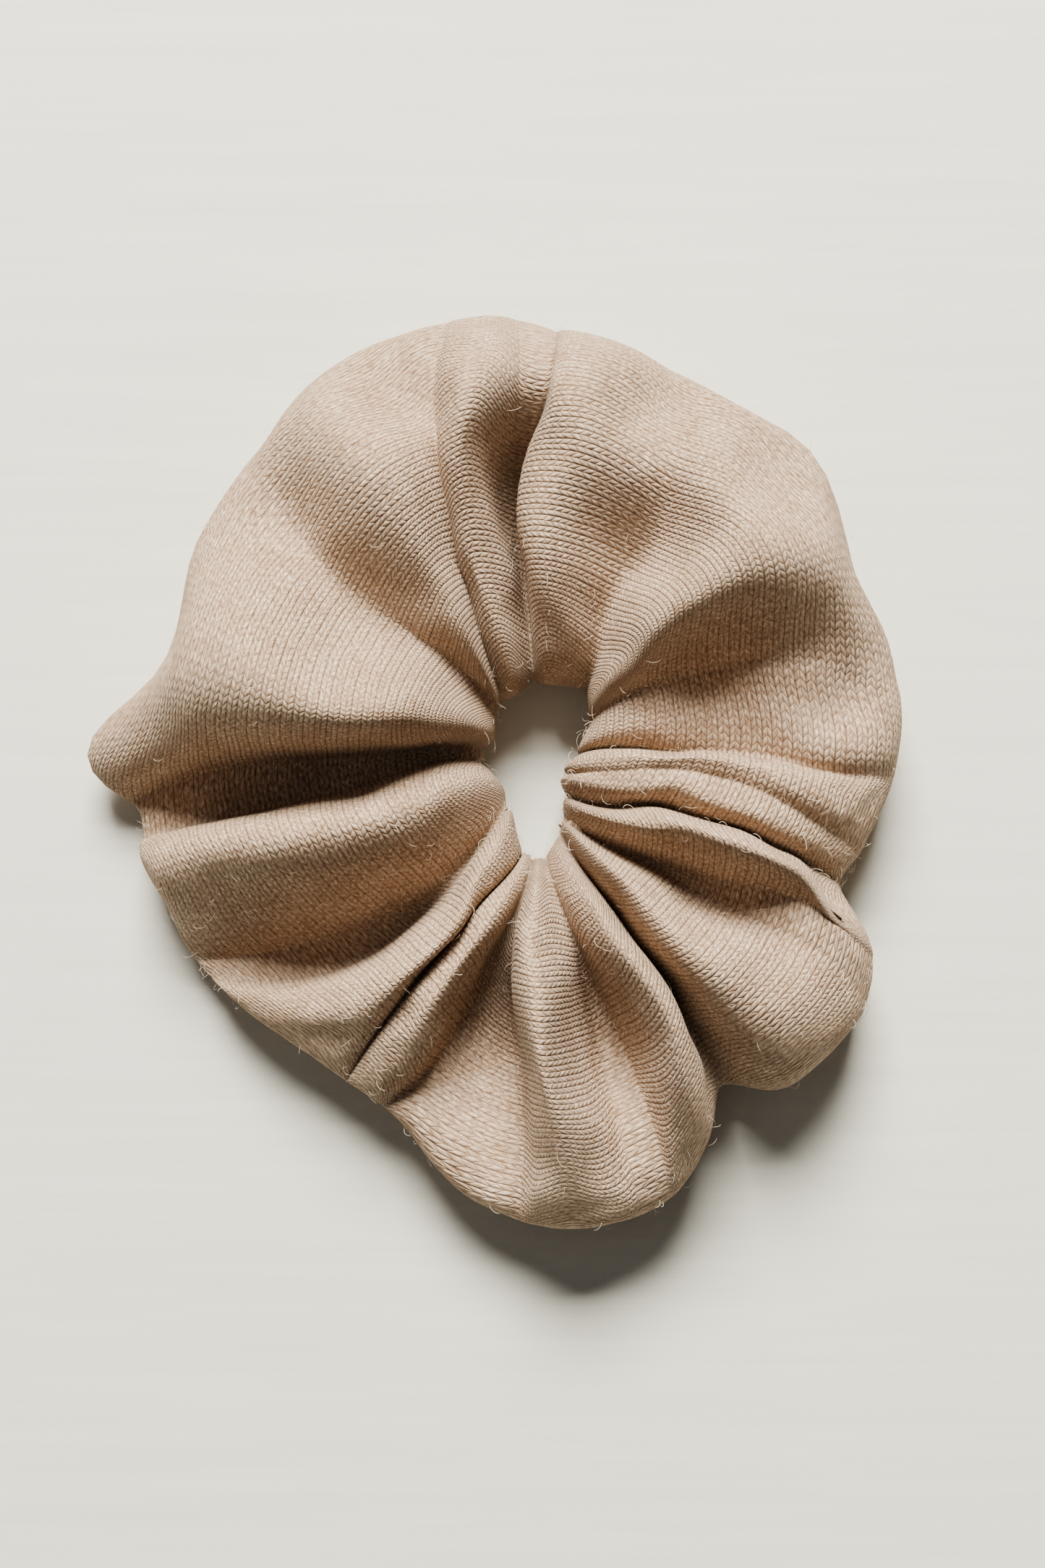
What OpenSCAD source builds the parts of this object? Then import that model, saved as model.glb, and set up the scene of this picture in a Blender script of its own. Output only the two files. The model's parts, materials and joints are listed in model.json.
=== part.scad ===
// Knitted scrunchie: a jersey tube gathered round a loop of flat elastic.
// The tube's two ends meet at a closing seam, and its long edges at a seam
// that runs round under the rim. The elastic lies loose in the tube.

/* [Knitted cover] */
// Distance from the middle of the hole to the rim, before each puff adds its own
rim_r = 60; // [56:1:66]
// Height of the tallest puff above the table
puff_h = 38; // [32:1:44]
// Height at which the rim reaches out furthest
rim_z = 9; // [8:0.5:10]
// Size of the hole compared with the relaxed one
hole_scale = 1; // [0.7:0.05:1]
// Thickness of the jersey
knit_t = 1.3; // [1:0.1:1.6]
// How square the tube's section is, where 2 is an ellipse
section_power = 2.6; // [2.5:0.1:3]
// Width of the slit between the two ends of the tube
seam_gap = 0.2; // [0.1:0.05:0.4]

/* [Elastic] */
// Mean radius of the relaxed loop
elastic_r = 21; // [20.5:0.5:22]
// Width of the elastic, which stands on edge
elastic_w = 6; // [5:0.5:6]
// Thickness of the elastic
elastic_t = 1.5; // [1:0.1:1.5]
// Length over which its two ends lie on each other
elastic_overlap = 14; // [10:1:20]

/* [Threads] */
// Thickness of the sewing thread
thread_d = 0.5; // [0.4:0.05:0.6]
// Number of stitches along the seam under the rim
long_seam_stitches = 60; // [40:1:70]
// Number of stitches that close the tube's ends
closing_seam_stitches = 26; // [16:1:30]
// Number of stitches through the overlap of the elastic
join_stitches = 5; // [3:1:7]

/* [Hidden] */

// Folds, counterclockwise from the closing seam. Each row holds the fold's angle
// at the hole, half way out and at the rim, its depth at the same three places,
// where 1 goes down to the floor of a fold, and how far the rim stands off rim_r.
FOLDS = [
    [-97, -115, -121, 0.45, 0.3, 0.25, -4.5],
    [-93, -100, -99, 0.75, 0.8, 0.45, 5],
    [-79, -75, -73, 0.5, 0.6, 0, 8],
    [-73, -62, -60, 0.6, 0.6, 0.5, -3],
    [-64, -34, -30, 0.7, 0.85, 0.1, -1.5],
    [-36, -19, -22, 0.6, 0.6, 0.45, -9.5],
    [-5, -8, -15, 0.2, 0.2, 0.25, -9.5],
    [20, 1, -2, 0.7, 0.4, 0.05, -5.5],
    [38, 26, 8, 0.3, 0.2, 0.15, -4],
    [56, 64, 70, 0.6, 0.35, 0.15, 1],
    [93, 92, 93, 0.7, 0.7, 0, 7],
    [113, 110, 102, 0.5, 0.3, 0.2, 8],
    [128, 137, 135, 0.3, 0.25, 0.1, 1],
    [160, 180, 186, 0.8, 0.9, 0.6, 1],
    [235, 227, 215, 0.8, 0.8, 0.5, -2]
];
// Puffs, each between the fold of the same row and the next one: how far the rim
// swells, and the puff's share of the full height.
PUFFS = [
    [-1.5, 0.8],
    [3.5, 0.9],
    [2, 0.8],
    [4, 0.95],
    [2, 0.85],
    [0.7, 0.78],
    [0.5, 0.8],
    [0.3, 0.85],
    [2, 1],
    [-1.2, 0.92],
    [1, 0.9],
    [0.7, 0.95],
    [-2.8, 1],
    [-1, 0.85],
    [0.5, 0.82]
];
// Outline of the relaxed hole: angle and radius
HOLE = [[-59, 8.6], [18, 7], [60, 14.5], [102, 13], [138, 9.6], [174, 8.6], [238, 7.6], [273, 14]];
// Tip of the low puff that peeps out on the left: angle, reach, half width in degrees, height
NUB = [175, 7, 7, 11];

fold_floor_z = 14;
hole_side_z = 8;
puff_steps = 8;
lining_steps = 4;
section_steps = 22;
turn = 360;
full_round = 96;
thread_sides = 6;
rings_per_stitch = 2;
stitch_amp = 0.9;
long_seam_phi = -38;
elastic_z = 5.6;
lap_face_r = elastic_r + 1.5 * elastic_t;
overlap_angle = elastic_overlap / lap_face_r * 180 / PI;
lap_at = 120;
lap_drift = 0.3;
seam_inset = 0.6;
knit_color = [0.79, 0.69, 0.58];
elastic_color = [0.93, 0.91, 0.87];
thread_color = [0.7, 0.6, 0.49];

function fold(i) = FOLDS[i % len(FOLDS)];
function fold_turns(i) = turn * floor(i / len(FOLDS));
function bend(start, middle, end, rho) =
    let (pull = 2 * middle - (start + end) / 2)
    start * pow(1 - rho, 2) + 2 * pull * rho * (1 - rho) + end * pow(rho, 2);
function fold_angle(i, rho) = fold_turns(i) + bend(fold(i)[0], fold(i)[1], fold(i)[2], rho);
function fold_depth(i, rho) = max(0, bend(fold(i)[3], fold(i)[4], fold(i)[5], rho));
function mix(low, high, t) = low + (high - low) * t;
function arch(t) = sqrt(max(0, 1 - pow(2 * t - 1, 2)));
function dip(t) = t < 0.5 ? 1 - arch(t) : 0;

// Radius of the hole at an angle, eased from one point of its outline to the next
function hole_span(angle, k) =
    k == len(HOLE) - 1 || HOLE[k + 1][0] > angle ? k : hole_span(angle, k + 1);
function hole_next(k) = k == len(HOLE) - 1 ? HOLE[0] + [turn, 0] : HOLE[k + 1];
function hole_r(angle) =
    let (a = angle < HOLE[0][0] ? angle + turn : angle >= HOLE[0][0] + turn ? angle - turn : angle)
    let (k = hole_span(a, 0))
    let (t = (a - HOLE[k][0]) / (hole_next(k)[0] - HOLE[k][0]))
    hole_scale * mix(HOLE[k][1], hole_next(k)[1], (1 - cos(180 * t)) / 2);

// i is a puff, t runs across it from 0 to 1, and rho runs out from the hole to the rim
function angle_at(i, t, rho) = mix(fold_angle(i, rho), fold_angle(i + 1, rho), t);
function nub_at(angle, z) =
    NUB[1] * exp(-pow((angle - NUB[0]) / NUB[2], 2) - pow((z - NUB[3]) / NUB[3], 2));
function rim_at(i, t) = rim_r + mix(fold(i)[6], fold(i + 1)[6], t) + PUFFS[i][0] * arch(t);
function puff_share(i, t) =
    let (n = len(PUFFS), side = t < 0.5 ? PUFFS[(i + n - 1) % n][1] : PUFFS[(i + 1) % n][1])
    mix((PUFFS[i][1] + side) / 2, PUFFS[i][1], arch(t));
function crown_at(i, t, rho) =
    let (drop = fold_depth(i, rho) * dip(t) + fold_depth(i + 1, rho) * dip(1 - t))
    mix(puff_h * puff_share(i, t), fold_floor_z, min(1, drop));

// Point of the section at phi, 0 at the rim and 90 on top, moved in by an offset
function squared(c) = sign(c) * pow(abs(c), 2 / section_power);
function section_rho(phi) = (1 + squared(cos(phi))) / 2;
function section_z(i, t, phi) =
    let (rho = section_rho(phi), middle_z = mix(hole_side_z, rim_z, rho), s = squared(sin(phi)))
    max(0, s > 0 ? mix(middle_z, crown_at(i, t, rho), s) : middle_z + 1.15 * rim_z * s);
function place(i, t, rho, z, slit) =
    let (angle = angle_at(i, t, rho))
    let (r = mix(hole_r(angle), rim_at(i, t) + nub_at(angle, z) * pow(rho, 4), rho))
    let (a = angle + slit / r * 180 / PI)
    [r * cos(a), r * sin(a), z];
function cover_point(i, t, phi, offset, slit) =
    let (rho = section_rho(phi), z = section_z(i, t, phi), middle_z = mix(hole_side_z, rim_z, rho))
    let (across = (rho - 0.5) * (rim_at(i, t) - hole_r(angle_at(i, t, 0))))
    let (k = 1 - offset / norm([across, z - middle_z]))
    place(i, t, 0.5 + (rho - 0.5) * k, mix(middle_z, z, k), slit);

// One skin of the tube: columns from one end round to the other, each a closed section
function column_count(steps) = len(FOLDS) * steps + 1;
function slit_side(k, steps) =
    k == 0 ? seam_gap / 2 : k == column_count(steps) - 1 ? -seam_gap / 2 : 0;
function skin(steps, offset) = [
    for (k = [0 : column_count(steps) - 1])
        let (i = min(floor(k / steps), len(FOLDS) - 1))
        let (t = (1 - cos(180 * (k / steps - i))) / 2)
        for (j = [0 : section_steps - 1])
            cover_point(i, t, j * turn / section_steps, offset, slit_side(k, steps))
];
function skin_faces(steps, first, outward) = [
    for (k = [0 : column_count(steps) - 2], j = [0 : section_steps - 1])
        let (next = (j + 1) % section_steps, low = first + k * section_steps)
        let (quad = [low + j, low + next, low + section_steps + next, low + section_steps + j])
        outward ? quad : [quad[3], quad[2], quad[1], quad[0]]
];
function end_faces(outer, inner, opening) = [
    for (j = [0 : section_steps - 1])
        let (next = (j + 1) % section_steps)
        let (quad = [outer + j, inner + j, inner + next, outer + next])
        opening ? quad : [quad[3], quad[2], quad[1], quad[0]]
];
function triangles(quads) = [
    for (q = quads)
        for (corner = [[0, 1, 2], [0, 2, 3]])
            [q[corner[0]], q[corner[1]], q[corner[2]]]
];
function low_corner(points) = [for (axis = [0 : 2]) min([for (p = points) p[axis]])];
function high_corner(points) = [for (axis = [0 : 2]) max([for (p = points) p[axis]])];

outer_skin = skin(puff_steps, 0);
lining = skin(lining_steps, knit_t);
// The origin is under the middle of the cover's box, and the hole lies off it
hole_centre = -(low_corner(outer_skin) + high_corner(outer_skin)) / 2;

// A thread swept along a closed or open row of points
function thread_ring(before, here, after) =
    let (ahead = (after - before) / norm(after - before))
    let (side = cross(ahead, [0, 0, 1]) + 0.001 * cross(ahead, [1, 0, 0]))
    let (x = side / norm(side), y = cross(x, ahead))
    [for (s = [0 : thread_sides - 1])
        here + thread_d / 2 * (cos(s * turn / thread_sides) * x + sin(s * turn / thread_sides) * y)];
function ring_faces(a, b) = [
    for (s = [0 : thread_sides - 1])
        let (n = (s + 1) % thread_sides)
        [a + s, b + s, b + n, a + n]
];
module closed_thread(points) {
    n = len(points);
    rings = [
        for (k = [0 : n - 1])
            each thread_ring(points[(k + n - 1) % n], points[k], points[(k + 1) % n])
    ];
    sides = [for (k = [0 : n - 1]) each ring_faces(k * thread_sides, (k + 1) % n * thread_sides)];
    polyhedron(rings, triangles(sides));
}

module at_hole() {
    translate([hole_centre[0], hole_centre[1], 0])
        children();
}

// Jersey tube: outer skin, lining and the two rims that meet at the closing seam
module knit_cover() {
    inner = len(outer_skin);
    outer_end = inner - section_steps;
    inner_end = inner + len(lining) - section_steps;
    quads = [
        each skin_faces(puff_steps, 0, true),
        each skin_faces(lining_steps, inner, false),
        each end_faces(0, inner, true),
        each end_faces(outer_end, inner_end, false)
    ];
    color(knit_color)
        at_hole()
            polyhedron([each outer_skin, each lining], triangles(quads));
}

module elastic_band(angle, inner_r, outer_r, width) {
    translate([0, 0, elastic_z - width / 2])
        rotate_extrude(angle = angle, $fn = full_round)
            translate([inner_r, 0])
                square([outer_r - inner_r, width]);
}

// Flat elastic on edge, with one end lapped over the other
module elastic_loop() {
    color(elastic_color)
        at_hole() {
            elastic_band(turn, elastic_r - elastic_t / 2, elastic_r + elastic_t / 2, elastic_w);
            rotate([0, 0, lap_at - overlap_angle / 2])
                elastic_band(overlap_angle, elastic_r, lap_face_r, elastic_w - lap_drift);
        }
}

// Zigzag stitches across the lap
module elastic_join_thread() {
    run = elastic_w - 2;
    step = overlap_angle / (join_stitches + 1);
    color(thread_color)
        at_hole()
            for (k = [1 : join_stitches])
                rotate([0, 0, lap_at + step * k - overlap_angle / 2])
                    translate([lap_face_r + thread_d / 4, 0, elastic_z])
                        rotate([k % 2 == 0 ? 25 : -25, 0, 0])
                            cylinder(h = run, d = thread_d, center = true, $fn = 16);
}

// Stitches of the seam under the rim, just inside the cover
module long_seam_thread() {
    count = long_seam_stitches * rings_per_stitch;
    per_puff = count / len(FOLDS);
    points = [
        for (k = [0 : count - 1])
            let (i = floor(k / per_puff), t = k / per_puff - i, weave = k % 2 == 0 ? 0 : stitch_amp)
            cover_point(i, t, long_seam_phi, knit_t + seam_inset + weave, 0)
    ];
    color(thread_color)
        at_hole()
            closed_thread(points);
}

// Stitches that draw the tube's two ends together
module closing_seam_thread() {
    count = closing_seam_stitches * rings_per_stitch;
    points = [
        for (k = [0 : count - 1])
            let (weave = k % 2 == 0 ? stitch_amp : -stitch_amp)
            cover_point(0, 0, k * turn / count, knit_t / 2, weave)
    ];
    color(thread_color)
        at_hole()
            closed_thread(points);
}

knit_cover();
elastic_loop();
elastic_join_thread();
long_seam_thread();
closing_seam_thread();
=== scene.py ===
"""Looks of a knitted scrunchie: jersey cover, seam stitches, stray fibres, elastic and a plain studio."""

import json
import math
import random

import bmesh
import bpy
import numpy as np
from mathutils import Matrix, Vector


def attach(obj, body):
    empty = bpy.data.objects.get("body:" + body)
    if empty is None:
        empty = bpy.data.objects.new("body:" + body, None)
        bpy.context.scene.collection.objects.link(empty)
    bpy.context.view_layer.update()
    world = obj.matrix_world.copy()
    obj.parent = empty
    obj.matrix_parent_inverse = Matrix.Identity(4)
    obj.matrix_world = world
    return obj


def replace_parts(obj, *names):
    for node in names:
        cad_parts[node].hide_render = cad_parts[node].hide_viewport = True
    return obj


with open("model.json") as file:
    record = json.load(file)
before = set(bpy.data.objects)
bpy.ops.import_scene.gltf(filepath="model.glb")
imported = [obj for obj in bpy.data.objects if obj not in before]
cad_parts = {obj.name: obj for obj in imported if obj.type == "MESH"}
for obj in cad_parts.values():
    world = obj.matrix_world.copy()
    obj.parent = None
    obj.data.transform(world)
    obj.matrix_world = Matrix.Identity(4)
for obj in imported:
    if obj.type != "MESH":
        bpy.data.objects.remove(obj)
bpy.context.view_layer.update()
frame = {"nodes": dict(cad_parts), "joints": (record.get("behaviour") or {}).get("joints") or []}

MM = 0.001
HOLE_CENTRE = Vector(frame["joints"][0]["pos_m"])

# ---------------------------------------------------------------- camera and studio
VIEW_ELEVATION = 85
FRAME_HEIGHT = 0.2385
FRAME_DISTANCE = 0.42
FRAME_SIDE = 36.0
AIM = Vector((0.0022, -0.0017, 0.012))


def set_camera():
    data = bpy.data.cameras.new("camera")
    data.sensor_width = FRAME_SIDE
    data.lens = FRAME_SIDE * FRAME_DISTANCE / FRAME_HEIGHT
    data.clip_start = 0.01
    camera = bpy.data.objects.new("camera", data)
    bpy.context.scene.collection.objects.link(camera)
    lift = math.radians(VIEW_ELEVATION)
    away = Vector((0, -math.cos(lift), math.sin(lift)))
    camera.location = AIM + away * FRAME_DISTANCE
    camera.rotation_euler = (math.pi / 2 - lift, 0, 0)
    bpy.context.scene.camera = camera


set_camera()


def in_scene(name, mesh):
    piece = bpy.data.objects.new(name, mesh)
    bpy.context.scene.collection.objects.link(piece)
    return piece


def area_light(name, place, size, power, color):
    data = bpy.data.lights.new(name, "AREA")
    data.shape = "RECTANGLE"
    data.size = size[0]
    data.size_y = size[1]
    data.energy = power
    data.color = color
    lamp = bpy.data.objects.new(name, data)
    bpy.context.scene.collection.objects.link(lamp)
    lamp.location = place
    lamp.rotation_euler = (Vector((0, 0, 0.015)) - Vector(place)).to_track_quat("-Z", "Y").to_euler()


def set_lights():
    area_light("window", (-0.10, 1.44, 1.44), (1.0, 0.85), 214.0, (1.0, 0.955, 0.87))
    area_light("room_bounce", (-0.5, -0.2, 1.3), (1.2, 1.2), 1.0, (1.0, 0.95, 0.9))
    world = bpy.data.worlds.new("room")
    bpy.context.scene.world = world
    world.use_nodes = True
    sky = world.node_tree.nodes["Background"]
    sky.inputs["Color"].default_value = (0.94, 0.97, 1.0, 1)
    sky.inputs["Strength"].default_value = 0.06


set_lights()


# ---------------------------------------------------------------- material helpers
def new_material(name):
    material = bpy.data.materials.new(name)
    material.use_nodes = True
    return material, material.node_tree, material.node_tree.nodes["Principled BSDF"]


def wire(tree, source, socket):
    if isinstance(source, (int, float)):
        socket.default_value = source
    else:
        tree.links.new(source, socket)


def calc(tree, operation, *values):
    node = tree.nodes.new("ShaderNodeMath")
    node.operation = operation
    for value, socket in zip(values, node.inputs):
        wire(tree, value, socket)
    return node.outputs[0]


def noise(tree, coords, scale, detail=2.0, roughness=0.5):
    node = tree.nodes.new("ShaderNodeTexNoise")
    tree.links.new(coords, node.inputs["Vector"])
    node.inputs["Scale"].default_value = scale
    node.inputs["Detail"].default_value = detail
    node.inputs["Roughness"].default_value = roughness
    return node.outputs[0]


def ramp(tree, value, stops):
    node = tree.nodes.new("ShaderNodeValToRGB")
    tree.links.new(value, node.inputs[0])
    marks = node.color_ramp.elements
    while len(marks) < len(stops):
        marks.new(0.5)
    for mark, (place, color) in zip(marks, stops):
        mark.position = place
        mark.color = (*color, 1)
    return node.outputs[0]


def blend_color(tree, share, one, two, mode="MIX"):
    node = tree.nodes.new("ShaderNodeMix")
    node.data_type = "RGBA"
    node.blend_type = mode
    wire(tree, share, node.inputs[0])
    for value, socket in ((one, node.inputs[6]), (two, node.inputs[7])):
        if isinstance(value, tuple):
            socket.default_value = (*value, 1)
        else:
            tree.links.new(value, socket)
    return node.outputs[2]


def bump(tree, height, strength, distance, normal=None):
    node = tree.nodes.new("ShaderNodeBump")
    node.inputs["Strength"].default_value = strength
    node.inputs["Distance"].default_value = distance
    tree.links.new(height, node.inputs["Height"])
    if normal is not None:
        tree.links.new(normal, node.inputs["Normal"])
    return node.outputs[0]


# ---------------------------------------------------------------- materials
WALE = 1.65 * MM
COURSE = 1.1 * MM


def jersey():
    """Fine stockinette in a melange yarn. The UV map is in metres: U along the tube, V across it."""
    material, tree, shader = new_material("jersey")
    uv = tree.nodes.new("ShaderNodeUVMap")
    uv.uv_map = "knit"
    parts = tree.nodes.new("ShaderNodeSeparateXYZ")
    tree.links.new(uv.outputs[0], parts.inputs[0])
    place = tree.nodes.new("ShaderNodeTexCoord").outputs["Object"]
    drift = calc(tree, "MULTIPLY", calc(tree, "SUBTRACT", noise(tree, place, 90, 2), 0.5), 0.5)
    wale = calc(tree, "ADD", calc(tree, "DIVIDE", parts.outputs[1], WALE), drift)
    course = calc(tree, "ADD", calc(tree, "DIVIDE", parts.outputs[0], COURSE), drift)
    # Each wale is two legs, and the strand in each leg leans towards the middle of its V
    across = calc(tree, "FRACT", wale)
    tilt = calc(tree, "ABSOLUTE", calc(tree, "SUBTRACT", across, 0.5))
    along = calc(tree, "ADD", course, calc(tree, "MULTIPLY", tilt, 1.3))
    strand = calc(tree, "ABSOLUTE", calc(tree, "SINE", calc(tree, "MULTIPLY", along, math.pi)))
    leg = calc(tree, "ABSOLUTE", calc(tree, "SINE", calc(tree, "MULTIPLY", wale, 2 * math.pi)))
    between = calc(tree, "MULTIPLY", calc(tree, "POWER", calc(tree, "MULTIPLY", tilt, 2), 8), 0.35)
    loops = calc(tree, "MULTIPLY", calc(tree, "POWER", leg, 0.45), calc(tree, "POWER", strand, 0.35))
    loops = calc(tree, "SUBTRACT", loops, between)
    # Melange: pale and brown fibres mixed in the yarn, in short streaks and in soft patches
    streaks = tree.nodes.new("ShaderNodeMapping")
    streaks.inputs["Scale"].default_value = (0.5, 1.0, 1.0)
    tree.links.new(uv.outputs[0], streaks.inputs["Vector"])
    fibre = noise(tree, streaks.outputs[0], 2100, 3, 0.75)
    patch = noise(tree, place, 210, 4, 0.65)
    yarn = ramp(tree, fibre, [(0.32, (0.22, 0.13, 0.075)), (0.46, (0.39, 0.28, 0.195)),
                              (0.56, (0.50, 0.37, 0.262)), (0.68, (0.78, 0.60, 0.43))])
    patchy = ramp(tree, patch, [(0.36, (0.86, 0.82, 0.78)), (0.64, (1.06, 1.07, 1.08))])
    yarn = blend_color(tree, 1.0, yarn, patchy, "MULTIPLY")
    # Painted shade: the yarn's colour darkens in the gaps between the loops' legs and strands, where the
    # knit's relief falls into shade; the same loops also drive the bump
    painted_stitch_shade = ramp(tree, loops, [(0.0, (0.50, 0.39, 0.31)), (0.55, (0.93, 0.9, 0.87)), (1.0, (1.0, 1.0, 1.0))])
    tree.links.new(blend_color(tree, 0.85, yarn, painted_stitch_shade, "MULTIPLY"), shader.inputs["Base Color"])
    fuzz = noise(tree, place, 3600, 4, 0.75)
    relief = bump(tree, loops, 0.8, 0.3 * MM)
    relief = bump(tree, fuzz, 0.3, 0.15 * MM, relief)
    tree.links.new(relief, shader.inputs["Normal"])
    shader.inputs["Roughness"].default_value = 0.95
    shader.inputs["Specular IOR Level"].default_value = 0.12
    shader.inputs["Sheen Weight"].default_value = 0.1
    shader.inputs["Sheen Roughness"].default_value = 0.5
    shader.inputs["Sheen Tint"].default_value = (1.0, 0.88, 0.74, 1)
    return material


def spun_thread(name, color):
    """Two-ply thread: a fine diagonal twist on a slightly uneven colour."""
    material, tree, shader = new_material(name)
    place = tree.nodes.new("ShaderNodeTexCoord").outputs["Object"]
    twist = tree.nodes.new("ShaderNodeTexWave")
    twist.bands_direction = "DIAGONAL"
    twist.inputs["Scale"].default_value = 900
    twist.inputs["Distortion"].default_value = 2
    tree.links.new(place, twist.inputs["Vector"])
    dark = tuple(0.7 * c for c in color)
    tint = blend_color(tree, noise(tree, place, 700, 3), dark, color)
    tree.links.new(tint, shader.inputs["Base Color"])
    tree.links.new(bump(tree, twist.outputs[1], 0.6, 0.1 * MM), shader.inputs["Normal"])
    shader.inputs["Roughness"].default_value = 0.85
    shader.inputs["Sheen Weight"].default_value = 0.2
    return material


def braided_elastic():
    """Flat elastic: fine ribs that run along the band, on a slightly uneven colour."""
    material, tree, shader = new_material("braided_elastic")
    place = tree.nodes.new("ShaderNodeTexCoord").outputs["Object"]
    ribs = tree.nodes.new("ShaderNodeTexWave")
    ribs.bands_direction = "Z"
    ribs.inputs["Scale"].default_value = 420
    ribs.inputs["Distortion"].default_value = 1.2
    tree.links.new(place, ribs.inputs["Vector"])
    # Painted shade: the colour darkens where the ribs' bump is low, in the grooves between the ribs
    tint = ramp(tree, ribs.outputs[1], [(0.0, (0.62, 0.59, 0.53)), (0.6, (0.86, 0.84, 0.79)),
                                        (1.0, (0.9, 0.88, 0.84))])
    tint = blend_color(tree, calc(tree, "MULTIPLY", noise(tree, place, 900, 3), 0.4), tint, (0.7, 0.67, 0.6))
    tree.links.new(tint, shader.inputs["Base Color"])
    tree.links.new(bump(tree, ribs.outputs[1], 0.7, 0.2 * MM), shader.inputs["Normal"])
    shader.inputs["Roughness"].default_value = 0.75
    return material


def painted_board():
    """Pale matt paint with faint brush lines that run from left to right."""
    material, tree, shader = new_material("painted_board")
    place = tree.nodes.new("ShaderNodeTexCoord").outputs["Object"]
    drawn = tree.nodes.new("ShaderNodeMapping")
    drawn.inputs["Scale"].default_value = (0.05, 1.0, 1.0)
    tree.links.new(place, drawn.inputs["Vector"])
    brush = noise(tree, drawn.outputs[0], 260, 4, 0.65)
    tint = ramp(tree, brush, [(0.3, (0.63, 0.62, 0.545)), (0.7, (0.70, 0.69, 0.605))])
    tree.links.new(tint, shader.inputs["Base Color"])
    tree.links.new(bump(tree, brush, 0.12, 0.3 * MM), shader.inputs["Normal"])
    shader.inputs["Roughness"].default_value = 0.6
    return material


# ---------------------------------------------------------------- shape of the cover
# Folds, counterclockwise from the closing seam, each at five places from the hole to the rim:
# the angles in degrees, the heights of the fold's floor in mm, and how sharp the fold is,
# from 0, a soft dip, to 1, a crease.
FOLDS = [
    ((-98, -111, -117, -119.5, -121), (16, 21, 22, 19, 13), 1.0),
    ((-92, -100.5, -105.5, -109, -114), (19, 16, 5, 8, 12), 0.9),
    ((-91, -97, -94, -91.5, -91), (19, 16, 5, 14, 22), 0.9),
    ((-84, -78.5, -77.3, -77, -77), (22, 19, 9, 18, 26), 0.3),
    ((-83.5, -76.5, -72.5, -72, -72.5), (22, 19, 9, 18, 26), 0.9),
    ((-69, -63.5, -61.3, -60, -59.5), (14, 10.5, 7, 4, 5), 1.0),
    ((-61, -43.5, -37.5, -34, -36), (15, 17, 20, 24, 26.5), 0.0),
    ((-60, -41.5, -32.5, -28.5, -30), (15, 17, 20, 24, 26.5), 0.35),
    ((-42, -23, -19, -19, -21), (15, 18, 20, 18, 13), 0.8),
    ((-12, -4, -5.5, -11.5, -15.4), (24, 27, 26, 24, 19), 1.0),
    ((18, 6, 1.5, -2, -2), (14, 14, 15, 19, 21), 0.9),
    ((40, 34, 29, 20, 12), (20, 22, 23, 26, 26), 0.2),
    ((57, 65, 62, 65, 71), (16, 18, 27, 32, 31), 0.7),
    ((91, 91.5, 91.5, 88, 87), (15, 10.5, 12, 31, 33), 1.0),
    ((92.5, 94.5, 96, 92.5, 92), (15, 10.5, 12, 32, 33), 0.2),
    ((116, 112, 108.5, 105, 101.5), (16, 21, 25, 25, 25), 0.8),
    ((124, 132, 138, 137, 135), (17, 21, 22, 22, 24), 0.0),
    ((160, 174, 176.5, 179, 184), (14, 10.5, 5, 5, 5), 1.0),
    ((172, 183, 187, 189, 190), (14, 10.5, 5, 5, 5), 0.9),
    ((233, 232.5, 226, 216.5, 209), (14, 10.5, 5, 4.5, 7), 0.4),
    ((236, 235.5, 231.5, 224.5, 213), (14, 10.5, 5, 5, 9), 0.8),
]
# Puffs, each between the fold of the same row and the next: the heights of the crown at the
# same five places, where the crown stands between the two folds, from 0 to 1, and how far it
# leans over counterclockwise, in mm.
PUFFS = [
    ((20, 25, 26, 23, 17), 0.5, 0.5),
    ((19, 15.5, 4.5, 10, 18), 0.5, 0),
    ((25, 32, 34, 31, 26), 0.45, -1.5),
    ((21.5, 18.5, 8.5, 18, 26), 0.5, 0),
    ((23, 30, 32, 31, 27), 0.5, 1.0),
    ((24, 30, 33, 32, 28), 0.55, -1.0),
    ((15, 17, 20, 24, 26.5), 0.5, 0),
    ((24, 31, 34, 32, 27), 0.5, 0),
    ((23, 27, 28, 26, 20), 0.5, -1.0),
    ((24, 28, 29, 27, 24), 0.5, 0),
    ((20, 20, 20, 24, 25), 0.5, 0),
    ((25, 33, 37, 38, 35), 0.48, -1.5),
    ((24, 30, 33, 36, 34), 0.6, 3.5),
    ((14, 10, 11.5, 32, 33), 0.5, 0),
    ((23, 28, 33, 37, 35), 0.5, 1.5),
    ((24, 29, 33, 36, 33), 0.5, -1.5),
    ((26, 35, 38, 36, 31), 0.5, 5.0),
    ((14, 10, 4.5, 4.5, 5), 0.5, 0),
    ((22, 28, 30, 27, 21), 0.35, 0),
    ((14, 10, 4.5, 4.5, 8), 0.5, 0),
    ((21, 25, 27, 24, 18), 0.5, 0.5),
]
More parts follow.
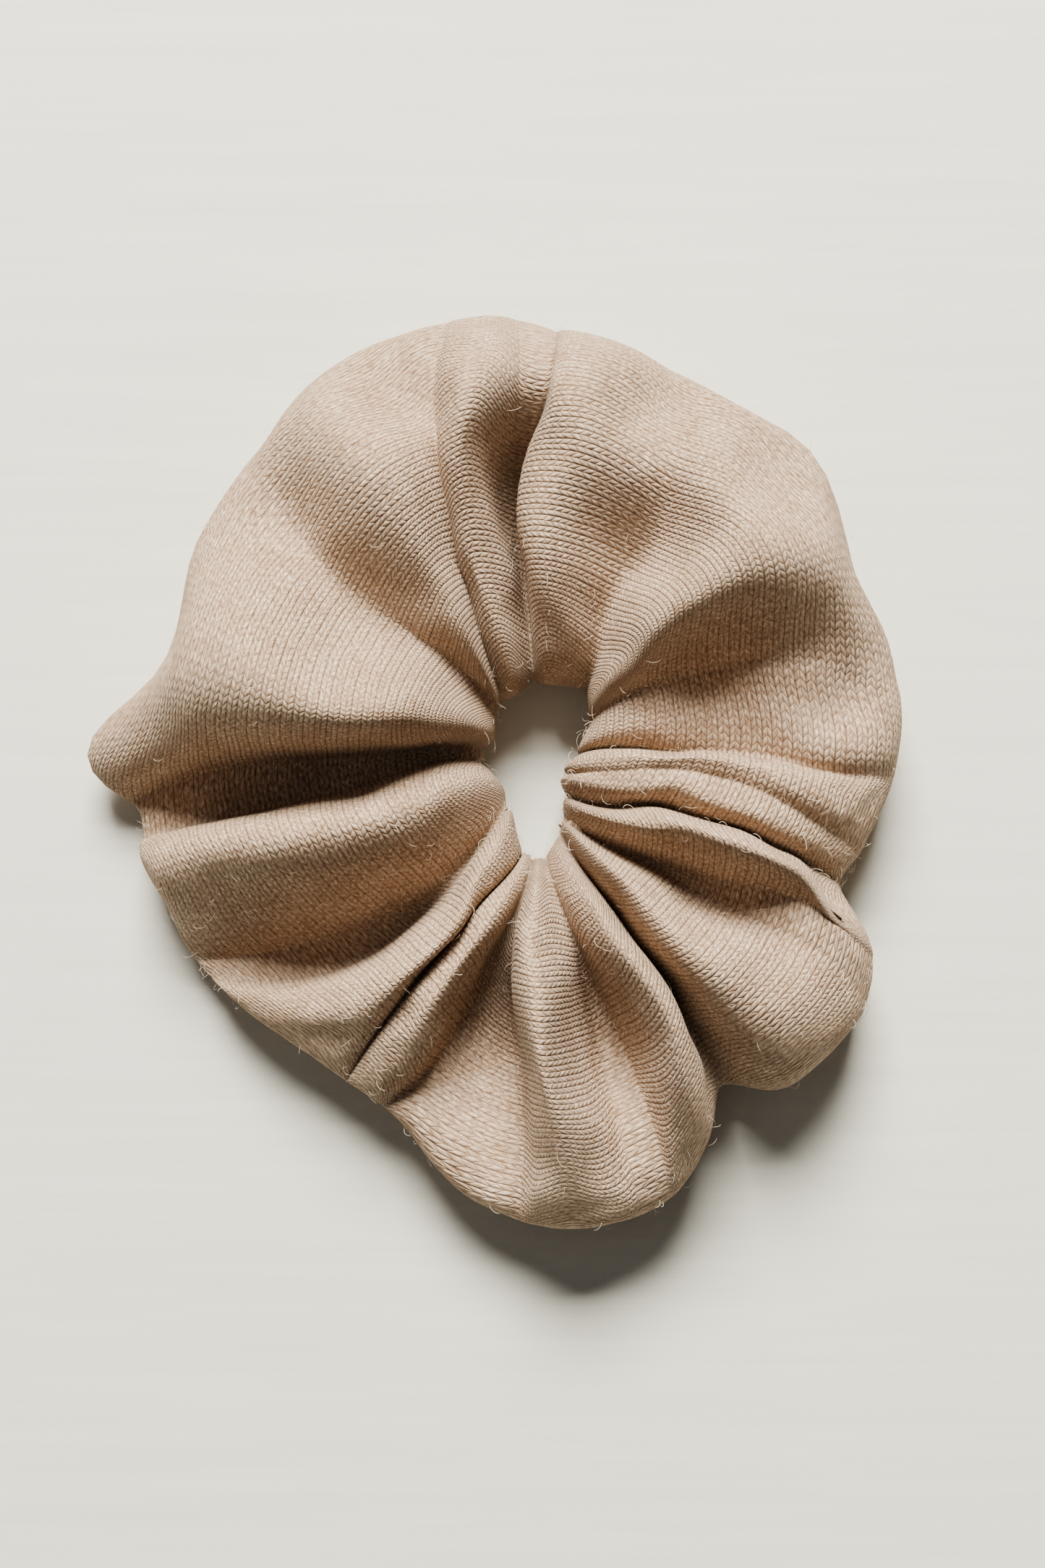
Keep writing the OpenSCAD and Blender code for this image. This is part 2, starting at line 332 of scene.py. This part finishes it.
# Relaxed hole and rim: angle in degrees and distance from the middle of the hole in mm
HOLE = [(-59, 8.6), (18, 7), (60, 14.5), (102, 13), (138, 9.6), (174, 8.6), (238, 7.6), (273, 14)]
RIM = [(-59.5, 56), (-54, 61), (-45, 62), (-35, 61.5), (-28, 57.5), (-22.5, 50.5), (-14, 51.5), (-1.5, 54.8),
       (7, 56.5), (18, 57), (32, 58), (40, 61), (47, 64), (58, 63.5), (73, 64.6), (85, 66.2), (96, 70),
       (105, 70), (117, 68.2), (131, 65), (145, 62.6), (156, 59.4), (167, 59.3), (180, 61.5), (188, 61.5),
       (193, 61.8), (201, 60), (208, 60), (216, 58.4), (236, 55.6), (251, 58.6), (256.5, 63), (263.5, 67),
       (272, 69.6), (280, 70), (288, 68), (295.5, 61.5)]
# The low puff that peeps out on the left: angle, reach, half width in degrees, height
NUB = (177, 9.0, 6.3, 6)
# Soft dents in the puffs: angle, distance from the hole's middle, depth, half length
# towards the rim and half width across, in mm
DENTS = [
    (27, 28, 4.5, 7, 5),
    (24, 44, 3.5, 6, 5),
    (12, 48, 4.5, 6, 6),
    (50, 56, 6, 7, 6),
    (70, 56, 6.5, 8, 6),
    (64, 36, 4, 5, 5),
    (112, 58, 7, 10, 6),
    (135, 52, 3, 8, 5),
    (204, 36, 4, 7, 5),
    (200, 49, 3, 6, 5),
    (156, 30, 1.5, 7, 4),
    (316, 47, 3, 6, 8),
    (322, 30, 1.5, 6, 4),
    (270, 58, 2, 6, 7),
]
# Heights in mm of the tube's widest line at the hole and at the rim
HOLE_SIDE_Z = 8
RIM_Z = 9
# The cloth bridges the elastic: distance from the hole's middle, half width and height, in mm
OVER_ELASTIC = (21.8, 5.0, 10.6)
# How square the tube's section is at the rim and at the hole, where 2 is round
RIM_SQUARE = 2.55
HOLE_SQUARE = 2.7
NOSE_ROLL = 2.8
UNEVEN_HEIGHT = 1.1
UNEVEN_LENGTH = 17.0
FOLD_WOBBLE = 0.8
SEAM_GAP = 0.15

PUFF_COLUMNS = 18
SECTION_ROWS = 92
CROWDING = 0.55
SMOOTHING = 3

# Below this height, this near the hole and in puffs this narrow, in mm, the cloth is held
HELD_HEIGHT = 9
HELD_REACH = 12
STIFF_WIDTH = 4
SLACK_FRAMES = 14
SLACK_FREEDOM = 0.97
SLACK_GROWTH = 0.045
SLACK_CAP = 1.8 * MM

KNIT_T = 1.2 * MM
FIBRES = 900
FIBRE_T = 0.05 * MM
STITCH_T = 0.35 * MM
STITCH_DEPTH = 0.7 * MM
STITCH_LOWEST = 0.4 * MM
# The long seam zigzags between these two rows, just under the rim, a little inside the cloth
LONG_SEAM_ROWS = (-9, -10)
LONG_SEAM_INSET = 0.965
LONG_SEAM_LIFT = 1.2 * MM


def along_fold(values, rho):
    """A curve through five values evenly spaced from the hole, rho 0, to the rim, rho 1."""
    ends = [2 * values[..., 0] - values[..., 1], 2 * values[..., 4] - values[..., 3]]
    marks = np.stack([ends[0], *np.moveaxis(values, -1, 0), ends[1]])
    k = np.clip(np.floor(rho * 4), 0, 3).astype(int)
    t = rho * 4 - k
    before, here, after, later = (np.take_along_axis(marks, (k + n)[None], 0)[0] for n in range(4))
    return here + t / 2 * (after - before + t * (2 * before - 5 * here + 4 * after - later
                           + t * (3 * here - before - 3 * after + later)))


def around_ring(table, angle):
    """A smooth closed curve through the table's angles and distances."""
    marks = np.array(table, float)
    ring = np.vstack([marks[-2:] - (360, 0), marks, marks[:3] + (360, 0)])
    slope = np.gradient(ring[:, 1], ring[:, 0])
    a = (angle - marks[0, 0]) % 360 + marks[0, 0]
    k = np.clip(np.searchsorted(ring[:, 0], a, "right") - 1, 1, len(ring) - 3)
    step = ring[k + 1, 0] - ring[k, 0]
    t = (a - ring[k, 0]) / step
    return ((2 * t ** 3 - 3 * t ** 2 + 1) * ring[k, 1] + (t ** 3 - 2 * t ** 2 + t) * slope[k] * step
            + (3 * t ** 2 - 2 * t ** 3) * ring[k + 1, 1] + (t ** 3 - t ** 2) * slope[k + 1] * step)


def squared(c, power):
    """A sine or cosine bent so that a circle turns into a rounded square."""
    return np.sign(c) * np.abs(c) ** (2 / power)


def fold_at(i, rho):
    """Angle, floor height and sharpness of fold i, which may run past the last one to the seam."""
    turns, k = np.divmod(i, len(FOLDS))
    angles = np.array([fold[0] for fold in FOLDS], float)[k]
    floors = np.array([fold[1] for fold in FOLDS], float)[k]
    wobble = FOLD_WOBBLE * 4 * rho * (1 - rho) * np.sin(5 * rho + 2.4 * k)
    return along_fold(angles, rho) + 360 * turns + wobble, along_fold(floors, rho), np.array(
        [fold[2] for fold in FOLDS])[k]


def dip(t, sharp):
    """Share of the way down to a fold at distance t from it, 0 at the crown of the puff."""
    t = np.clip(t, 0, 0.5)
    crease = 1 - np.sqrt(np.clip(1 - (1 - 2 * t) ** 2, 0, 1))
    soft = (1 + np.cos(2 * np.pi * t)) / 2
    return sharp * crease + (1 - sharp) * soft


def dents(angle, r):
    """Depth in mm of the soft dents at a place on the ring."""
    depth = np.zeros_like(r)
    for at, distance, deep, length, width in DENTS:
        aside = ((angle - at + 180) % 360 - 180) * np.pi / 180 * distance
        depth += deep * np.exp(-((r - distance) / length) ** 2 - (aside / width) ** 2)
    return depth


def unevenness(angle, r):
    """Gentle rise and fall of the cloth, in mm, that follows no fold."""
    x, y = (r * f(np.radians(angle)) / UNEVEN_LENGTH for f in (np.cos, np.sin))
    waves = (np.sin(1.9 * x + 1.3 * y + 0.5) + np.sin(1.1 * x - 2.3 * y + 2.1)
             + np.sin(3.1 * x + 2.2 * y + 4.0) * 0.6 + np.sin(2.7 * x - 3.7 * y + 1.2) * 0.6)
    return UNEVEN_HEIGHT * waves / 2.2


def cover_points(column, row):
    """Points of the cover's outer face, in metres. column counts puffs from the closing seam,
    and row is the angle round the tube, 0 at the rim and a quarter turn on top."""
    column, row = np.broadcast_arrays(np.asarray(column, float), np.asarray(row, float))
    i = np.minimum(np.floor(column), len(PUFFS) - 1).astype(int)
    t = column - i
    power = np.where(np.cos(row) > 0, RIM_SQUARE, HOLE_SQUARE)
    rho = (1 + squared(np.cos(row), power)) / 2
    up = squared(np.sin(row), power)
    crown = along_fold(np.array([puff[0] for puff in PUFFS], float)[i], rho)
    peak, lean = (np.array([puff[n] for puff in PUFFS], float)[i] for n in (1, 2))
    start, floor_start, sharp_start = fold_at(i, rho)
    end, floor_end, sharp_end = fold_at(i + 1, rho)
    rise = 1 - dip(t, sharp_start) - dip(1 - t, sharp_end)
    floor = np.where(t < 0.5, floor_start, floor_end)
    top = floor + (crown - floor) * rise
    share = t + 4 * (peak - 0.5) * t * (1 - t)
    angle = start * (1 - share) + end * share
    middle_z = np.minimum(HOLE_SIDE_Z + (RIM_Z - HOLE_SIDE_Z) * rho, 0.7 * top)
    z = np.where(up > 0, middle_z + (top - middle_z) * up, middle_z * (1 + 1.12 * up))
    z = np.maximum(z, 0.0)
    arch = np.sqrt(np.clip(1 - (2 * t - 1) ** 2, 0, 1))
    nub = NUB[1] * np.exp(-((angle - NUB[0]) / NUB[2]) ** 4 - ((z - NUB[3]) / NUB[3] / 1.3) ** 4)
    span = np.radians(end - start)
    roll = np.minimum(NOSE_ROLL, 4 * span) * (arch - 0.4) * (1 - rho) ** 4
    r = around_ring(HOLE, angle) * (1 - rho) - roll + (around_ring(RIM, angle) + nub * rho ** 4) * rho
    z = z - dents(angle, r) * np.clip(up, 0, 1) ** 0.5
    z = np.maximum(z + unevenness(angle, r) * np.clip(z / 12 - 0.5, 0, 1), 0.0)
    bridge = OVER_ELASTIC[2] * np.exp(-((r - OVER_ELASTIC[0]) / OVER_ELASTIC[1]) ** 4)
    z = np.where(up > 0, np.maximum(z, bridge * np.clip(3 * up, 0, 1)), z)
    over = np.clip(rise, 0, 1) * np.clip(up, 0, 1) * 4 * rho * (1 - rho)
    slit = np.where(column <= 0, SEAM_GAP / 2, 0) - np.where(column >= len(PUFFS), SEAM_GAP / 2, 0)
    turn = np.radians(angle) + (lean * over + slit) / r
    flat = np.stack([r * np.cos(turn), r * np.sin(turn), z], -1) * MM
    return flat + np.array([HOLE_CENTRE.x, HOLE_CENTRE.y, 0])


def smoothed(points):
    """Evens out the grid of stitches a little, round the tube and between the two seam edges."""
    for _ in range(SMOOTHING):
        ring = points[:, :-1]
        ring = ring / 2 + (np.roll(ring, 1, axis=1) + np.roll(ring, -1, axis=1)) / 4
        inner = ring[1:-1] / 2 + (ring[:-2] + ring[2:]) / 4
        ring = np.concatenate([ring[:1], inner, ring[-1:]])
        points = np.concatenate([ring, ring[:, :1]], axis=1)
    return points


def column_places():
    """Where the cover's columns of stitches stand, closer together beside each fold."""
    even = np.arange(PUFF_COLUMNS) / PUFF_COLUMNS
    within = (1 - CROWDING) * even + CROWDING * (1 - np.cos(np.pi * even)) / 2
    return np.append((np.arange(len(PUFFS))[:, None] + within).ravel(), len(PUFFS))


def row_places():
    """Angles round the tube at which the cover's rows of stitches lie."""
    return np.linspace(0, 2 * np.pi, SECTION_ROWS + 1)


def grid_of_stitches(points):
    """A bmesh grid moved onto the points, closed round the tube, with each vertex's own number."""
    columns, rows = (n - 1 for n in points.shape[:2])
    maker = bmesh.new()
    bmesh.ops.create_grid(maker, x_segments=columns, y_segments=rows, size=0.5)
    spot = maker.verts.layers.int.new("spot")
    for vertex in maker.verts:
        c, r = round((vertex.co.x + 0.5) * columns), round((vertex.co.y + 0.5) * rows)
        vertex[spot] = c * (rows + 1) + r
        vertex.co = points[c, r]
    return maker, spot


def midway(values, axis):
    """The same values with one more between each two of them along the axis."""
    values = np.moveaxis(values, axis, 0)
    finer = np.empty((2 * len(values) - 1, *values.shape[1:]))
    finer[::2] = values
    finer[1::2] = (values[:-1] + values[1:]) / 2
    return np.moveaxis(finer, 0, axis)


def settled(points):
    """The gathered cloth finds its own slack: a coarse copy is held where it rests, at the hole
    and along the folds, grows a little between them, and hands its gentle waves to the cover."""
    coarse = points[::2, ::2]
    columns, rows = (n - 1 for n in coarse.shape[:2])
    maker, spot = grid_of_stitches(coarse)
    bmesh.ops.remove_doubles(maker, verts=maker.verts, dist=1e-7)
    mesh = bpy.data.meshes.new("slack")
    maker.to_mesh(mesh)
    maker.free()
    cloth = in_scene("slack", mesh)
    spots = np.array([item.value for item in mesh.attributes["spot"].data])
    c, r = np.divmod(spots, rows + 1)
    start = np.array([v.co for v in mesh.vertices])
    reach = np.hypot(start[:, 0] - HOLE_CENTRE.x, start[:, 1] - HOLE_CENTRE.y) / MM
    between = np.sin(np.pi * ((c / columns * len(PUFFS)) % 1)) ** 0.5
    height = start[:, 2] / MM
    free = between * np.clip((height - HELD_HEIGHT) / 10, 0, 1) * np.clip((reach - HELD_REACH) / 10, 0, 1)
    folds = coarse[::columns // len(PUFFS)]
    puff = np.minimum(c * len(PUFFS) // columns, len(PUFFS) - 1)
    width = np.linalg.norm(np.diff(folds, axis=0), axis=2)[puff, r] / MM
    free *= np.clip((width - STIFF_WIDTH) / STIFF_WIDTH / 2, 0, 1)
    hold = cloth.vertex_groups.new(name="held")
    for vertex, share in enumerate(1 - SLACK_FREEDOM * free):
        hold.add([vertex], float(share), "REPLACE")
    slack = cloth.modifiers.new("slack", "CLOTH")
    knit = slack.settings
    knit.quality = 6
    knit.mass = 0.15
    knit.tension_stiffness = 15
    knit.compression_stiffness = 15
    knit.shear_stiffness = 8
    knit.bending_stiffness = 0.8
    knit.shrink_min = -SLACK_GROWTH
    knit.vertex_group_mass = "held"
    knit.pin_stiffness = 1.0
    knit.effector_weights.gravity = 0
    slack.point_cache.frame_start = 1
    slack.point_cache.frame_end = SLACK_FRAMES
    for step in range(1, SLACK_FRAMES + 1):
        bpy.context.scene.frame_set(step)
    shape = cloth.evaluated_get(bpy.context.evaluated_depsgraph_get()).data
    moved = np.zeros_like(coarse)
    moved[c, r] = np.array([v.co for v in shape.vertices]) - start
    moved[:, -1] = moved[:, 0]
    far = np.linalg.norm(moved, axis=2, keepdims=True)
    print("slack in mm: mean %.2f, most %.2f" % (far.mean() / MM, far.max() / MM))
    moved *= np.minimum(1, SLACK_CAP / np.maximum(far, 1e-9))
    bpy.data.objects.remove(cloth)
    bpy.context.scene.frame_set(1)
    place = points + smoothed(midway(midway(moved, 0), 1))
    place[..., 2] = np.maximum(place[..., 2], 0)
    return place


def make_cover():
    """The gathered jersey tube, with its knit laid along the cloth. Returns the points it lies on."""
    columns, rows = column_places(), row_places()
    points = cover_points(columns[:, None], rows[None, :])
    points[:, -1] = points[:, 0]
    points = smoothed(points)
    points = settled(points)
    # Arc lengths give the knit its even gauge: V is measured down from the crown of the tube
    steps_v = np.linalg.norm(np.diff(points, axis=1), axis=2)
    v = np.concatenate([np.zeros((len(columns), 1)), np.cumsum(steps_v, axis=1)], axis=1)
    v -= v[:, [SECTION_ROWS // 4]]
    steps_u = np.linalg.norm(np.diff(points, axis=0), axis=2)
    shown = steps_u[:, 4:SECTION_ROWS // 2 - 6]
    u = np.concatenate([[0], np.cumsum(shown.mean(axis=1))])
    mesh_maker, spot = grid_of_stitches(points)
    uv = mesh_maker.loops.layers.uv.new("knit")
    for vertex in mesh_maker.verts:
        c, r = divmod(vertex[spot], SECTION_ROWS + 1)
        for loop in vertex.link_loops:
            loop[uv].uv = (u[c], v[c, r])
    bmesh.ops.remove_doubles(mesh_maker, verts=mesh_maker.verts, dist=1e-7)
    bmesh.ops.recalc_face_normals(mesh_maker, faces=mesh_maker.faces)
    if sum(face.normal.z * face.calc_center_median().z for face in mesh_maker.faces) < 0:
        bmesh.ops.reverse_faces(mesh_maker, faces=mesh_maker.faces)
    mesh = bpy.data.meshes.new("jersey_cover")
    mesh_maker.to_mesh(mesh)
    mesh_maker.free()
    mesh.polygons.foreach_set("use_smooth", [True] * len(mesh.polygons))
    cover = in_scene("jersey_cover", mesh)
    wall = cover.modifiers.new("knit_thickness", "SOLIDIFY")
    wall.thickness = KNIT_T
    wall.offset = -1
    cover.data.materials.append(jersey())
    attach(cover, "cover")
    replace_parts(cover, "knit_cover")
    return points


def tube_piece(name, data):
    """The curve's tube as a piece of mesh, with its end caps joined to its sides."""
    curve = in_scene(name, data)
    shape = curve.evaluated_get(bpy.context.evaluated_depsgraph_get())
    mesh = bpy.data.meshes.new_from_object(shape)
    bpy.data.objects.remove(curve)
    maker = bmesh.new()
    maker.from_mesh(mesh)
    bmesh.ops.remove_doubles(maker, verts=maker.verts, dist=1e-6)
    bmesh.ops.recalc_face_normals(maker, faces=maker.faces)
    maker.to_mesh(mesh)
    maker.free()
    return in_scene(name, mesh)


def thread_piece(name, points, closed, material):
    """Sewing thread that runs through the points, in a closed loop or with two ends."""
    data = bpy.data.curves.new(name, "CURVE")
    data.dimensions = "3D"
    data.bevel_depth = STITCH_T / 2
    data.bevel_resolution = 2
    data.resolution_u = 2
    data.use_fill_caps = True
    spline = data.splines.new("NURBS")
    spline.points.add(len(points) - 1)
    spline.points.foreach_set("co", np.c_[points, np.ones(len(points))].ravel())
    spline.order_u = 4
    spline.use_cyclic_u = closed
    spline.use_endpoint_u = not closed
    data.materials.append(material)
    thread = tube_piece(name, data)
    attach(thread, "cover")
    return thread


def make_seams(points):
    """Stitches of the closing seam and of the long seam, and the thread colour of the elastic's join."""
    thread = spun_thread("beige_thread", (0.5, 0.36, 0.235))
    rows = np.arange(SECTION_ROWS)
    stitches = points[np.where(rows % 2 == 0, 0, -1), rows]
    stitches[:, 2] = np.maximum(stitches[:, 2] - STITCH_DEPTH, STITCH_LOWEST)
    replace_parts(thread_piece("closing_stitches", stitches, True, thread), "closing_seam_thread")
    columns = np.arange(points.shape[0])
    seam = points[columns, np.where(columns % 2 == 0, *LONG_SEAM_ROWS)]
    middle = np.array([HOLE_CENTRE.x, HOLE_CENTRE.y, 0])
    inward = np.array([LONG_SEAM_INSET, LONG_SEAM_INSET, 1])
    seam = middle + (seam - middle) * inward + np.array([0, 0, LONG_SEAM_LIFT])
    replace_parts(thread_piece("long_seam_stitches", seam, False, thread), "long_seam_thread")
    frame["nodes"]["elastic_join_thread"].data.materials.clear()
    frame["nodes"]["elastic_join_thread"].data.materials.append(thread)


def make_fuzz(points):
    """Short loose fibres that stand off the yarn here and there, seeded so that they stay put."""
    material, tree, shader = new_material("loose_fibre")
    shader.inputs["Base Color"].default_value = (0.72, 0.58, 0.44, 1)
    shader.inputs["Roughness"].default_value = 0.9
    chance = random.Random(11)
    data = bpy.data.curves.new("loose_fibres", "CURVE")
    data.dimensions = "3D"
    data.bevel_depth = FIBRE_T / 2
    data.bevel_resolution = 0
    data.resolution_u = 3
    data.use_fill_caps = True
    data.materials.append(material)
    shown = int(SECTION_ROWS * 0.56)
    for _ in range(FIBRES):
        c, r = chance.randrange(2, points.shape[0] - 2), chance.randrange(shown)
        root = points[c, r]
        normal = np.cross(points[c + 1, r] - points[c - 1, r], points[c, r + 1] - points[c, r - 1])
        size = np.linalg.norm(normal)
        if root[2] < 3 * MM or size < 1e-9:
            continue
        normal = normal / size
        side = np.cross(normal, [chance.uniform(-1, 1) for _ in range(3)])
        side *= chance.uniform(0.8, 2.4) * MM / max(np.linalg.norm(side), 1e-9)
        lift = normal * chance.uniform(0.3, 1.3) * MM
        bow = np.cross(normal, side) * chance.uniform(-0.5, 0.5)
        steps = [root - normal * 0.2 * MM, root + side * 0.3 + lift * 0.8, root + side * 0.7 + lift + bow,
                 root + side + bow + lift * chance.uniform(0.2, 1.2)]
        spline = data.splines.new("NURBS")
        spline.points.add(3)
        spline.points.foreach_set("co", np.c_[steps, np.ones(4)].ravel())
        spline.order_u = 4
        spline.use_endpoint_u = True
    fuzz = tube_piece("loose_fibres", data)
    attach(fuzz, "cover")


def finish_elastic():
    band = frame["nodes"]["elastic_loop"]
    band.data.materials.clear()
    band.data.materials.append(braided_elastic())


def make_floor():
    maker = bmesh.new()
    bmesh.ops.create_grid(maker, x_segments=1, y_segments=1, size=2.0)
    bmesh.ops.translate(maker, verts=maker.verts, vec=(0, 0, -0.1 * MM))
    mesh = bpy.data.meshes.new("board")
    maker.to_mesh(mesh)
    maker.free()
    board = in_scene("board", mesh)
    board.data.materials.append(painted_board())


make_floor()
knit_points = make_cover()
make_fuzz(knit_points)
make_seams(knit_points)
finish_elastic()
